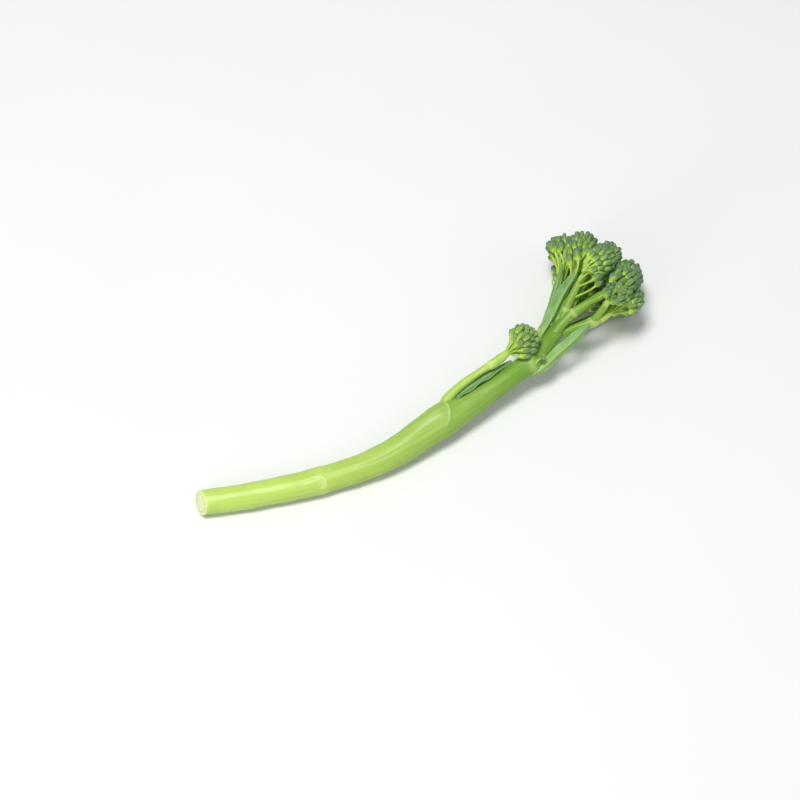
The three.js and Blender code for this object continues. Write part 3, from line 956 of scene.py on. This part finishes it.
# ---------------------------------------------------------------- buds
def bud_shape(around, rings, plump):
    """A unit bud along +Z: four closed sepals with seams, a blunt tip and a narrow foot."""
    angle = np.linspace(0, math.pi, rings + 1)[1:-1]
    height = (1 - np.cos(angle)) / 2
    width = np.sin(angle) ** 0.62 * (1 - 0.13 * np.cos(angle)) * plump
    turn = np.arange(around) / around * 2 * math.pi
    twist = turn[None, :] + 0.25 * height[:, None]
    off_seam = np.abs((twist / (math.pi / 2) + 0.5) % 1 - 0.5) * (math.pi / 2)
    seam = bump(off_seam, 0, 0.16) * smoothstep(0.2, 0.45, height)[:, None]
    radius = width[:, None] * (1 - 0.2 * seam) / 2
    lobes = 0.03 * np.cos(4 * twist + math.pi) * smoothstep(0.8, 1.0, height)[:, None]
    points = np.stack([radius * np.cos(turn), radius * np.sin(turn), height[:, None] + lobes], axis=-1)
    ends = np.array([[0, 0, 0.0], [0, 0, 0.985]])
    quads, caps = tube_faces(len(height), around)
    ripe = per_point(height[:, None], (len(height), around))
    ripe[-2:] = (0, 1)
    # The seam mask also darkens the bud's colour in its grooves as painted shade.
    seam_shade = per_point(seam, seam.shape)
    seam_shade[-2:] = (0, 0.3)
    return np.concatenate([points.reshape(-1, 3), ends]), quads, caps, ripe, seam_shade


BUD = bud_shape(20, 14, 1.0)
YOUNG_BUD = bud_shape(12, 8, 1.05)


def add_bud(heap, foot, direction, length, width, rng, shade, young=False):
    shape = YOUNG_BUD if young else BUD
    direction = unit(np.asarray(direction, float))
    helper = np.array([0.0, 0, 1]) if abs(direction[2]) < 0.9 else np.array([1.0, 0, 0])
    first = unit(np.cross(helper, direction))
    second = np.cross(direction, first)
    spin = rng.uniform(0, 2 * math.pi)
    x_axis = first * math.cos(spin) + second * math.sin(spin)
    y_axis = np.cross(direction, x_axis)
    local = shape[0]
    lean = x_axis * rng.uniform(-0.06, 0.06) * length
    points = (np.asarray(foot) + local[:, :1] * width * x_axis + local[:, 1:2] * width * y_axis
              + local[:, 2:] * length * direction + local[:, 2:] ** 2 * lean)
    count = len(points)
    heap.add(points, shape[1], shape[2], {
        "ripe": shape[3], "seam": shape[4], "shade": np.full(count, shade)})


def add_stalk(heap, start, leave, end, arrive, thick):
    """A thin curved stalk that leaves `start` along one direction and meets `end` along another."""
    start, end = np.asarray(start, float), np.asarray(end, float)
    span = np.linalg.norm(end - start)
    first = start + unit(np.asarray(leave, float)) * span * 0.38
    second = end - unit(np.asarray(arrive, float)) * span * 0.34
    t = np.linspace(0, 1, 5)[:, None]
    path = ((1 - t) ** 3 * start + 3 * (1 - t) ** 2 * t * first + 3 * (1 - t) * t ** 2 * second + t ** 3 * end)
    radius = thick * (1 + 0.45 * bump(t, 0, 0.16) + 0.5 * bump(t, 1, 0.12))
    stem = tube(np.column_stack([path, radius]), 8, max(span / 10, 0.5))
    share = stem["travel"] / stem["travel"][-1]
    shape = (len(share), 8)
    heap.add(stem["points"], stem["quads"], stem["triangles"], {
        "grain": stem["grain"], "green": per_point((0.62 - 0.3 * share)[:, None], shape),
        "pale": per_point((0.3 * bump(share, 1, 0.12) + 0.2 * bump(share, 0, 0.1))[:, None], shape)})


def lay_out_buds(crown):
    """Places every bud of every dome, then pushes neighbours apart over sixty rounds."""
    rng = np.random.default_rng(SEED + 90)
    buds = []
    for name, (foot, middle, radius, grown, young) in FLORETS.items():
        foot, middle = np.asarray(foot, float), np.asarray(middle, float)
        axis = unit(middle - foot)
        helper = np.array([0.0, 0, 1]) if abs(axis[2]) < 0.9 else np.array([1.0, 0, 0])
        first = unit(np.cross(helper, axis))
        second = np.cross(axis, first)
        count = grown + young
        widest = math.radians(NARROW_DOMES.get(name, 88))
        start_turn = rng.uniform(0, 2 * math.pi)
        for index in range(count):
            is_young = index < young
            share = (index + 0.5) / count
            if is_young:
                share = (index + 0.5) / young * 0.14
            else:
                share = 0.17 + (index - young + 0.5) / grown * 0.83
            polar = math.acos(1 - share * (1 - math.cos(widest)))
            turn = start_turn + index * GOLDEN_TURN + rng.normal(0, 0.12)
            spread = first * math.cos(turn) + second * math.sin(turn)
            outward = axis * math.cos(polar) + spread * math.sin(polar)
            size = 0.36 + 0.12 * rng.random() if is_young else 0.74 + 0.32 * share + rng.normal(0, 0.09)
            size *= BUD_HABITS.get(name, (1, 0))[0]
            reach = radius * (0.94 + rng.normal(0, 0.05) - (0.08 if is_young else 0))
            direction = unit(outward * 0.5 + axis * 0.6)
            buds.append({"floret": name, "axis": axis, "foot": foot, "middle": middle, "out": outward,
                         "share": share, "young": is_young, "size": size,
                         "head": middle + outward * reach,
                         "direction": direction, "reach": reach})
    heads = np.array([bud["head"] for bud in buds])
    homes = heads.copy()
    middles = np.array([bud["middle"] for bud in buds])
    reaches = np.array([bud["reach"] for bud in buds])
    room = np.array([bud["size"] for bud in buds]) * crown.bud_width / MM * 0.56
    ways = np.array([bud["direction"] for bud in buds])
    lengths = np.array([bud["size"] for bud in buds]) * crown.bud_length / MM
    for _ in range(60):
        push = np.zeros_like(heads)
        for along in (-0.25, -0.6):
            spots = heads + ways * (lengths * along)[:, None]
            for other_along in (-0.25, -0.6):
                others = heads + ways * (lengths * other_along)[:, None]
                gap = spots[:, None, :] - others[None, :, :]
                far = np.linalg.norm(gap, axis=2) + 1e-9
                want = room[:, None] + room[None, :]
                near = np.clip(want - far, 0, None)
                np.fill_diagonal(near, 0)
                push += np.sum(gap / far[..., None] * near[..., None], axis=1) * 0.16
        heads = heads + push + (homes - heads) * 0.02
        from_middle = heads - middles
        size = np.linalg.norm(from_middle, axis=1)[:, None]
        heads = middles + from_middle / size * (0.5 * size + 0.5 * reaches[:, None])
    heads[:, 2] = np.maximum(heads[:, 2], 1.2)
    for bud, head in zip(buds, heads):
        bud["head"] = head
    return buds


def make_florets(crown, stem):
    buds = lay_out_buds(crown)
    rng = np.random.default_rng(SEED + 140)
    length, width, thick = crown.bud_length / MM, crown.bud_width / MM, crown.stalk_radius / MM
    stalk_material = shared_material("stalk_skin", lambda: stem_skin_of_stalks(crown, stem))
    for name, (foot, middle, radius, *_) in FLORETS.items():
        foot, middle = np.asarray(foot, float), np.asarray(middle, float)
        axis = unit(middle - foot)
        reach = np.linalg.norm(middle - foot)
        stalks, heads = Heap(), Heap()
        branch = np.array(SIDE_SHOOT_ROUTE if name == "shoot_floret" else
                          BRANCH_ROUTES[name.replace("floret", "branch")], float)
        end, back = branch[-1, :3], unit(branch[-2, :3] - branch[-1, :3])
        thick_end = branch[-1, 3] * 1.06
        core = np.array([(*(end + back * 2.4), thick_end), (*end, thick_end),
                         (*(foot + axis * reach * 0.5), 0.78), (*(middle + axis * radius * 0.35), 0.4)])
        stem_core = tube(core, 14, 0.6, branch_relief(SEED + 200, ()))
        shape = (len(stem_core["travel"]), 14)
        heights = (stem_core["travel"] / stem_core["travel"][-1])[:, None]
        stalks.add(stem_core["points"], stem_core["quads"], stem_core["triangles"], {
            "grain": stem_core["grain"], "green": per_point(0.5 - 0.3 * heights, shape),
            "pale": per_point(0.1 + 0.3 * heights, shape)})
        for bud in (item for item in buds if item["floret"] == name):
            size = bud["size"]
            direction = unit(bud["direction"] + rng.normal(0, 0.10, 3))
            bud_long = length * size * (0.82 if bud["young"] else 1)
            base = bud["head"] - direction * bud_long
            if base[2] < width * size * 0.5:
                base[2] = width * size * 0.5
                direction = unit(bud["head"] - base)
            rise = 0.9 - 0.85 * bud["share"] + rng.uniform(-0.05, 0.05)
            start = foot + axis * reach * np.clip(rise, 0.02, 0.95)
            leave = unit(axis * 0.9 + bud["out"] * 0.5)
            add_stalk(stalks, start, leave, base + direction * 0.25, direction,
                      thick * (0.75 + 0.4 * min(size, 1)))
            paler = BUD_HABITS.get(name, (1, 0))[1] + (0.25 if bud["young"] else 0)
            shade = np.clip(rng.normal(0.08, 0.13) + paler, 0, 0.62)
            add_bud(heads, base, direction, bud_long, width * size, rng, shade, bud["young"])
        for start, base, tip in LONE_BUDS.get(name, ()):
            base, tip = np.asarray(base, float), np.asarray(tip, float)
            direction = unit(tip - base)
            add_stalk(stalks, start, base - np.asarray(start), base + direction * 0.3, direction,
                      thick * 1.1)
            add_bud(heads, base, direction, np.linalg.norm(tip - base), width * 1.3, rng, 0.1)
        stalk_piece = stalks.write(name + "_stalks", [stalk_material])
        head_piece = heads.write(name + "_buds", [bud_material()])
        settle(stalk_piece, name)
        settle(head_piece, name)


def stem_skin_of_stalks(crown, stem):
    """Bud stalks share the stem's skin, in their own yellow-green."""
    material, tree, shader = new_material("stalk_skin", 0.45, flesh_depth=0.0008)
    grain = place_group(tree, shared_group("Stem Grain", grain_group),
                        Grain=read_value(tree, "grain", vector=True), Fineness=3.5, Stretch=0.12)
    skin = blend_colours(tree, read_value(tree, "green"), tinted(stem.foot_colour, 0.85),
                         crown.stalk_colour)
    skin = blend_colours(tree, remap(tree, grain.outputs["Fibres"], 0.35, 0.65, 0, 0.5), skin,
                         tinted(stem.foot_colour, 0.8))
    skin = blend_colours(tree, read_value(tree, "pale"), skin, stem.scar_colour)
    tree.links.new(skin, shader.inputs["Base Color"])
    relief_normal(tree, shader, ((grain.outputs["Fibres"], 0.2, 0.0002),))
    return material


def make_joint_bud(crown):
    """The small bead cluster on a short stalk in the long leaf's joint."""
    rng = np.random.default_rng(SEED + 300)
    foot, head = np.asarray(JOINT_BUD_FOOT, float), np.asarray(JOINT_BUD_HEAD, float)
    axis = unit(head - foot)
    side = unit(np.cross(axis, (0, 0, 1)))
    other = np.cross(axis, side)
    stalks, beads = Heap(), Heap()
    add_stalk(stalks, foot, axis, head, axis, 0.5)
    for index in range(11):
        polar = math.acos(1 - (index + 0.5) / 11 * 1.1)
        turn = index * GOLDEN_TURN
        out = axis * math.cos(polar) + (side * math.cos(turn) + other * math.sin(turn)) * math.sin(polar)
        add_bud(beads, head + out * 0.35, out, 1.25, 0.85, rng, 0.45, young=True)
    stem = bpy.context.scene.broccolini_stem
    stalk_material = shared_material("stalk_skin", lambda: stem_skin_of_stalks(crown, stem))
    settle(stalks.write("joint_bud_stalk", [stalk_material]), "joint_bud")
    settle(beads.write("joint_bud_beads", [bud_material()]), "joint_bud")


# ---------------------------------------------------------------- stage
def make_stage(settings):
    scene = bpy.context.scene
    bpy.ops.mesh.primitive_plane_add(size=6, location=(0, 0, 0))
    table = bpy.context.object
    table.name = "table_top"
    material, tree, shader = new_material("table_top", 0.6)
    place = tree.nodes.new("ShaderNodeTexCoord")
    clouds = tree.nodes.new("ShaderNodeTexNoise")
    clouds.inputs["Scale"].default_value = 9
    tree.links.new(place.outputs["Object"], clouds.inputs["Vector"])
    colour = blend_colours(tree, remap(tree, clouds.outputs["Fac"], 0.3, 0.7), settings.table_colour,
                           tinted(settings.table_colour, 0.98))
    tree.links.new(colour, shader.inputs["Base Color"])
    table.data.materials.append(material)

    world = bpy.data.worlds.new("studio")
    world.use_nodes = True
    world.node_tree.nodes["Background"].inputs["Color"].default_value = (0.95, 0.98, 1.0, 1)
    world.node_tree.nodes["Background"].inputs["Strength"].default_value = 0.34
    scene.world = world
    scene.view_settings.view_transform = "Standard"
    middle = Vector((CAD_BOX[0])) * 0.5 + Vector((CAD_BOX[1])) * 0.5
    lights = (("key", (-0.22, -0.02, 1.25), 0.4, 12.0), ("fill", (0.9, -0.9, 0.8), 0.9, 1.4),
              ("rim", (-1.0, -0.4, 0.5), 0.6, 2.2))
    for name, place, size, power in lights:
        lamp = bpy.data.lights.new(name, "AREA")
        lamp.shape = "DISK"
        lamp.size = size
        lamp.energy = power
        lamp_object = bpy.data.objects.new(name, lamp)
        lamp_object.location = place
        lamp_object.rotation_euler = (middle - Vector(place)).to_track_quat("-Z", "Y").to_euler()
        scene.collection.objects.link(lamp_object)

    camera = bpy.data.cameras.new("camera")
    camera.lens = settings.lens
    camera.sensor_width = 36
    camera.clip_start = 0.01
    camera_object = bpy.data.objects.new("camera", camera)
    turn, height = settings.azimuth, settings.elevation
    back = Vector((math.sin(turn) * math.cos(height), -math.cos(turn) * math.cos(height),
                   math.sin(height)))
    camera_object.location = Vector(settings.target) + back * settings.distance
    camera_object.rotation_euler = back.to_track_quat("Z", "Y").to_euler()
    scene.collection.objects.link(camera_object)
    scene.camera = camera_object


# ---------------------------------------------------------------- operators
class BROCCOLINI_OT_stage(bpy.types.Operator):
    """Add the pale table, the soft lights and the camera"""
    bl_idname = "broccolini.stage"
    bl_label = "Add Stage"

    def execute(self, context):
        make_stage(context.scene.broccolini_stage)
        return {"FINISHED"}


class BROCCOLINI_OT_main_stem(bpy.types.Operator):
    """Add the main stem with its joints, scar and knife cut"""
    bl_idname = "broccolini.main_stem"
    bl_label = "Add Main Stem"

    def execute(self, context):
        make_main_stem(context.scene.broccolini_stem)
        return {"FINISHED"}


class BROCCOLINI_OT_side_shoot(bpy.types.Operator):
    """Add the side shoot that leaves the stem's middle joint"""
    bl_idname = "broccolini.side_shoot"
    bl_label = "Add Side Shoot"

    def execute(self, context):
        make_round_stem("side_shoot_skin", SIDE_SHOOT_ROUTE, "side_shoot", SEED + 10,
                        ((35.6, 0.3, 1.0),), (0.62, 0.27), fade=16)
        return {"FINISHED"}


class BROCCOLINI_OT_branches(bpy.types.Operator):
    """Add the branches of the crown"""
    bl_idname = "broccolini.branches"
    bl_label = "Add Branches"

    def execute(self, context):
        make_branches()
        return {"FINISHED"}


class BROCCOLINI_OT_leaves(bpy.types.Operator):
    """Add the small folded leaves"""
    bl_idname = "broccolini.leaves"
    bl_label = "Add Leaves"

    def execute(self, context):
        make_leaves(context.scene.broccolini_leaf, context.scene.broccolini_crown.bloom_colour)
        return {"FINISHED"}


class BROCCOLINI_OT_joint_bud(bpy.types.Operator):
    """Add the bead cluster in the long leaf's joint"""
    bl_idname = "broccolini.joint_bud"
    bl_label = "Add Joint Bud"

    def execute(self, context):
        make_joint_bud(context.scene.broccolini_crown)
        return {"FINISHED"}


class BROCCOLINI_OT_florets(bpy.types.Operator):
    """Add every floret: bud stalks and buds"""
    bl_idname = "broccolini.florets"
    bl_label = "Add Florets"

    def execute(self, context):
        make_florets(context.scene.broccolini_crown, context.scene.broccolini_stem)
        return {"FINISHED"}


OPERATORS = (
    BROCCOLINI_OT_stage, BROCCOLINI_OT_main_stem, BROCCOLINI_OT_side_shoot, BROCCOLINI_OT_branches,
    BROCCOLINI_OT_leaves, BROCCOLINI_OT_joint_bud, BROCCOLINI_OT_florets,
)


class BROCCOLINI_PT_panel(bpy.types.Panel):
    """Lists the steps that build the spear, in order"""
    bl_label = "Broccolini"
    bl_idname = "BROCCOLINI_PT_panel"
    bl_space_type = "VIEW_3D"
    bl_region_type = "UI"
    bl_category = "Broccolini"

    def draw(self, context):
        for operator in OPERATORS:
            self.layout.operator(operator.bl_idname)


SETTINGS = {
    "broccolini_stem": StemSettings, "broccolini_crown": CrownSettings, "broccolini_leaf": LeafSettings,
    "broccolini_stage": StageSettings,
}


def register():
    for key, settings in SETTINGS.items():
        bpy.utils.register_class(settings)
        setattr(bpy.types.Scene, key, bpy.props.PointerProperty(type=settings))
    for item in (*OPERATORS, BROCCOLINI_PT_panel):
        bpy.utils.register_class(item)


def unregister():
    for item in (BROCCOLINI_PT_panel, *reversed(OPERATORS)):
        bpy.utils.unregister_class(item)
    for key, settings in SETTINGS.items():
        delattr(bpy.types.Scene, key)
        bpy.utils.unregister_class(settings)


def main():
    register()
    for operator in OPERATORS:
        group, step = operator.bl_idname.split(".")
        getattr(getattr(bpy.ops, group), step)()


if __name__ == "__main__":
    main()
